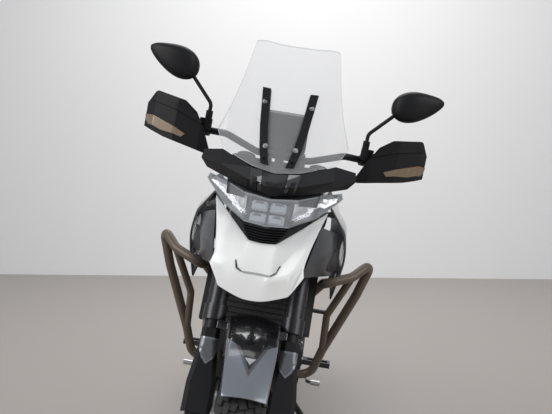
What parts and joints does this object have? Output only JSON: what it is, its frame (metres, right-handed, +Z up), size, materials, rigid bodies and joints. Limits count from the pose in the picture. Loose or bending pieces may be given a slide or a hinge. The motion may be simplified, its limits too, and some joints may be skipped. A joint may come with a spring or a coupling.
{
  "type": "adventure motorcycle",
  "caption": "Tall adventure motorcycle with beak, stacked headlight, clear screen, hand guards, tubular crash bars, seats and luggage rack, leaning on its side stand.",
  "frame": {"origin": "centre of the bounding box of the parked motorcycle, on the floor", "axes": "+X to the motorcycle's left, the side it leans to, +Y towards its tail, +Z straight up from the floor"},
  "size_m": [0.9518, 2.2176, 1.4476],
  "materials": {
    "grey_paint": "gloss",
    "silver_plastic": "gloss",
    "white_plastic": "gloss",
    "grey_plastic": "gloss",
    "black_plastic": "matte",
    "bronze_paint": "satin",
    "black_metal": "satin",
    "steel": "brushed",
    "dark_aluminium": "satin",
    "tyre_rubber": "matte",
    "rubber": "matte",
    "seat_cover": "matte",
    "clear": "gloss",
    "red_lens": "gloss",
    "lamp_shell": "gloss"
  },
  "bodies": {
    "chassis": {"main_frame": "black_metal", "rear_subframe": "black_metal", "engine": "dark_aluminium", "engine_covers": "dark_aluminium", "front_sprocket": "steel", "radiator": "black_metal", "exhaust_header": "steel", "muffler": "steel", "swingarm": "black_metal", "rear_shock": "black_metal", "rear_axle": "steel", "rear_caliper": "dark_aluminium", "chain": "steel", "fuel_tank": "grey_paint", "tank_shrouds": "grey_plastic", "beak": "white_plastic", "grille": "black_plastic", "headlight": "lamp_shell", "headlight_lens": "clear", "cowl": "black_plastic", "windscreen": "clear", "screen_strips": "black_plastic", "display": "black_plastic", "crash_bars": "bronze_paint", "skid_plate": "dark_aluminium", "rider_seat": "seat_cover", "pillion_seat": "seat_cover", "side_panels": "grey_plastic", "luggage_rack": "black_metal", "tail_lamp": "red_lens", "rear_fender": "black_plastic", "footrests": "dark_aluminium", "passenger_pegs": "dark_aluminium", "foot_controls": "steel"},
    "steering": {"yokes": "black_metal", "fork_tubes": "dark_aluminium", "fork_lowers": "black_metal", "front_axle": "steel", "fork_guards": "black_plastic", "front_calipers": "dark_aluminium", "front_fender": "silver_plastic", "handlebar": "black_metal", "grips": "rubber", "hand_controls": "black_plastic", "hand_guards": "black_plastic", "mirrors": "black_plastic"},
    "front_wheel": {"front_tyre": "tyre_rubber", "front_rim": "black_metal", "front_discs": "steel"},
    "rear_wheel": {"rear_tyre": "tyre_rubber", "rear_rim": "black_metal", "rear_disc": "steel", "rear_sprocket": "steel"},
    "side_stand": {"side_stand": "black_metal"}
  },
  "joints": [
    {"name": "steering", "type": "hinge", "parent": "chassis", "child": "steering", "pos_m": [-0.0794, -0.52196, 0.81312], "axis": [0.1455, 0.4138, 0.8987], "range_deg": [-36.4, 27.6]},
    {"name": "front_wheel", "type": "hinge", "parent": "steering", "child": "front_wheel", "pos_m": [-0.15619, -0.78364, 0.3229], "axis": [0.9791, 0.07, -0.1907], "continuous": true},
    {"name": "rear_wheel", "type": "hinge", "parent": "chassis", "child": "rear_wheel", "pos_m": [-0.15741, 0.77626, 0.33279], "axis": [0.9871, 0.0002, -0.1599], "continuous": true},
    {"name": "side_stand", "type": "hinge", "parent": "chassis", "child": "side_stand", "pos_m": [-0.0661, 0.13635, 0.24544], "axis": [0.9893, 0.1332, -0.0602], "range_deg": [0, 100]}
  ]
}
